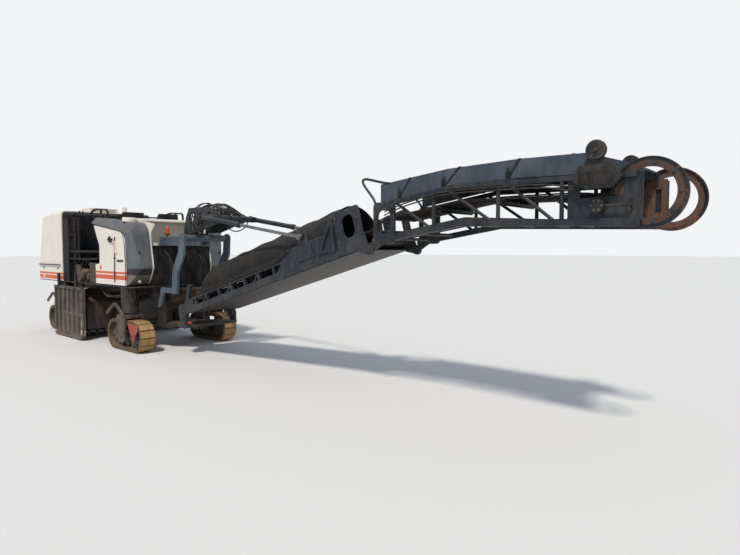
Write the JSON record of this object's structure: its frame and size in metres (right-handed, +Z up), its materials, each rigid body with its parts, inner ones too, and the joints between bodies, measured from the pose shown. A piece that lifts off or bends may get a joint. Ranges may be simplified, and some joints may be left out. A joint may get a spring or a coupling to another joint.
{
  "type": "cold planer milling machine",
  "caption": "Cold planer on four steered crawler tracks, with a milling drum under the frame and a folding two-part loading conveyor that slews in front.",
  "frame": {"origin": "on the ground, under the middle of the whole machine", "axes": "+X to the discharge end of the conveyor, +Y to the left of the machine, +Z up"},
  "size_m": [15.2768, 2.5, 3.295],
  "materials": {
    "frame_paint": "semi-gloss, dusty",
    "body_white": "semi-gloss, dusty",
    "dark_paint": "matt, dusty",
    "worn_steel": "worn, rusty",
    "engine_grey": "oily",
    "bright_rod": "polished",
    "belt_rubber": "dusty",
    "track_pads": "muddy",
    "black_plastic": "matt",
    "tarpaulin": "creased",
    "beacon_orange": "gloss",
    "lamp_clear": "gloss"
  },
  "bodies": {
    "chassis": {"main_frame": "frame_paint", "column_guides": "frame_paint", "lashing_lugs": "frame_paint", "drum_housing": "dark_paint", "scraper_blade": "worn_steel", "rear_body": "body_white", "engine_block": "engine_grey", "platform": "dark_paint", "operator_station": "black_plastic", "handrails": "dark_paint", "tank_right": "frame_paint", "tank_left": "frame_paint", "side_panel_right": "body_white", "side_panel_left": "body_white", "front_deck": "dark_paint", "front_wall": "body_white", "filler_caps": "body_white", "front_struts": "frame_paint", "primary_frame": "dark_paint", "primary_belt": "belt_rubber", "side_drives": "engine_grey", "beacon": "beacon_orange", "lamps": "lamp_clear"},
    "front_right_track": {"leg_front_right": "frame_paint", "track_front_right": "track_pads"},
    "front_left_track": {"leg_front_left": "frame_paint", "track_front_left": "track_pads"},
    "rear_right_track": {"leg_rear_right": "frame_paint", "track_rear_right": "track_pads"},
    "rear_left_track": {"leg_rear_left": "frame_paint", "track_rear_left": "track_pads"},
    "drum": {"milling_drum": "worn_steel"},
    "right_side_plate": {"side_plate_right": "dark_paint"},
    "left_side_plate": {"side_plate_left": "dark_paint"},
    "hood": {"engine_hood": "body_white"},
    "swivel": {"swivel_yoke": "frame_paint", "gallows": "dark_paint"},
    "lower_conveyor": {"lower_frame": "frame_paint", "lower_belt": "belt_rubber", "lower_cover": "tarpaulin"},
    "upper_conveyor": {"upper_frame": "frame_paint", "upper_belt": "belt_rubber", "upper_cover": "frame_paint", "head_guards": "worn_steel", "head_drive": "dark_paint"},
    "luff_barrels": {"luff_barrels": "dark_paint"},
    "luff_rods": {"luff_rods": "bright_rod"}
  },
  "joints": [
    {"name": "steer_front_left", "type": "hinge", "parent": "chassis", "child": "front_left_track", "pos_m": [-2.65164, 0.99, 0.7], "axis": [0, 0, 1], "range_deg": [-22, 22]},
    {"name": "steer_front_right", "type": "hinge", "parent": "chassis", "child": "front_right_track", "pos_m": [-2.65164, -0.99, 0.7], "axis": [0, 0, 1], "range_deg": [-22, 22]},
    {"name": "steer_rear_left", "type": "hinge", "parent": "chassis", "child": "rear_left_track", "pos_m": [-6.85164, 0.78, 0.7], "axis": [0, 0, 1], "range_deg": [-18, 18]},
    {"name": "steer_rear_right", "type": "hinge", "parent": "chassis", "child": "rear_right_track", "pos_m": [-6.85164, -0.78, 0.7], "axis": [0, 0, 1], "range_deg": [-18, 18]},
    {"name": "drum_spin", "type": "hinge", "parent": "chassis", "child": "drum", "pos_m": [-5.27164, 0, 0.52], "axis": [0, 1, 0], "continuous": true},
    {"name": "side_plate_right_lift", "type": "slide", "parent": "chassis", "child": "right_side_plate", "axis": [0, 0, 1], "range_m": [0, 0.3]},
    {"name": "side_plate_left_lift", "type": "slide", "parent": "chassis", "child": "left_side_plate", "axis": [0, 0, 1], "range_m": [0, 0.3]},
    {"name": "hood_lift", "type": "hinge", "parent": "chassis", "child": "hood", "pos_m": [-5.88164, 0, 3.095], "axis": [0, 1, 0], "range_deg": [0, 35]},
    {"name": "conveyor_slew", "type": "hinge", "parent": "chassis", "child": "swivel", "pos_m": [-1.65164, 0, 0.52], "axis": [0, 0, 1], "range_deg": [-60, 60]},
    {"name": "conveyor_luff", "type": "hinge", "parent": "swivel", "child": "lower_conveyor", "pos_m": [-1.20164, 0, 0.77], "axis": [0, -1, 0], "range_deg": [0, 16]},
    {"name": "conveyor_fold", "type": "hinge", "parent": "lower_conveyor", "child": "upper_conveyor", "pos_m": [3.74836, 0, 2.13], "axis": [0, 1, 0], "range_deg": [0, 165]},
    {"name": "luff_barrel_pivot", "type": "hinge", "parent": "swivel", "child": "luff_barrels", "pos_m": [-0.45164, 0, 2.75], "axis": [0, -1, 0], "range_deg": [0, 22]},
    {"name": "luff_rod_slide", "type": "slide", "parent": "luff_barrels", "child": "luff_rods", "axis": [0.9889, 0, -0.1483], "range_m": [-0.56, 0]}
  ],
  "couplings": [
    {"joint": "steer_front_right", "follows": "steer_front_left", "ratio": 1},
    {"joint": "steer_rear_right", "follows": "steer_rear_left", "ratio": 1},
    {"joint": "luff_barrel_pivot", "follows": "conveyor_luff", "ratio": 1.2873},
    {"joint": "luff_rod_slide", "follows": "conveyor_luff", "m_per_rad": -1.9729}
  ]
}
